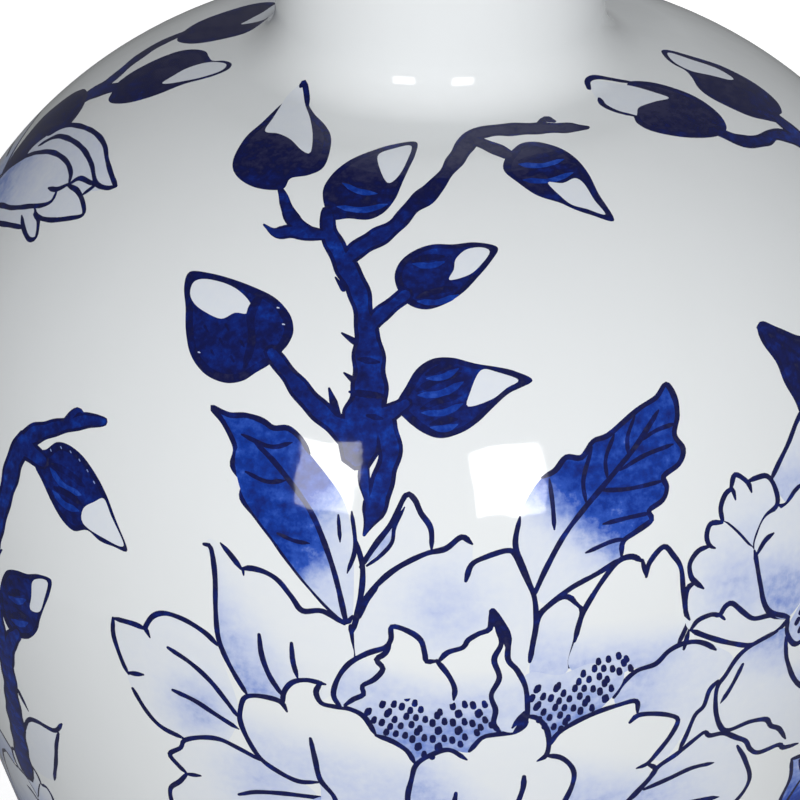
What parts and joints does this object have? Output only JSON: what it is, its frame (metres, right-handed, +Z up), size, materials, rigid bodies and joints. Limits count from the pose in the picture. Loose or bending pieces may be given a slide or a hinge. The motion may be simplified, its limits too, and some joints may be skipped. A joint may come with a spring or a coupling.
{
  "type": "porcelain vase",
  "caption": "Broad-shouldered porcelain plum vase with a short straight neck, everted lip, foot ring and an underglaze-blue flowering branch around the body.",
  "frame": {"origin": "centre of the resting plane under the foot ring", "axes": "+Z up along the vase's axis of revolution"},
  "size_m": [0.25, 0.25, 0.32],
  "materials": {
    "painted_glaze": "glossy clear glaze over cobalt-blue painting",
    "clear_glaze": "glossy clear glaze",
    "porcelain_clay": "fired white porcelain body",
    "slip": "fired porcelain slip in the luted seams",
    "bare_foot": "unglazed matt biscuit, fired slightly orange at the glaze line"
  },
  "bodies": {
    "root": {"base_disc": "porcelain_clay", "base_slip_joint": "slip", "lower_body": "porcelain_clay", "waist_slip_joint": "slip", "upper_body": "porcelain_clay", "neck_slip_joint": "slip", "neck_collar": "porcelain_clay", "lip_slip_joint": "slip", "mouth_rim": "porcelain_clay", "foot_slip_joint": "slip", "foot_ring": "bare_foot", "outer_glaze": "painted_glaze", "inner_glaze": "clear_glaze", "base_glaze": "clear_glaze"}
  },
  "joints": []
}
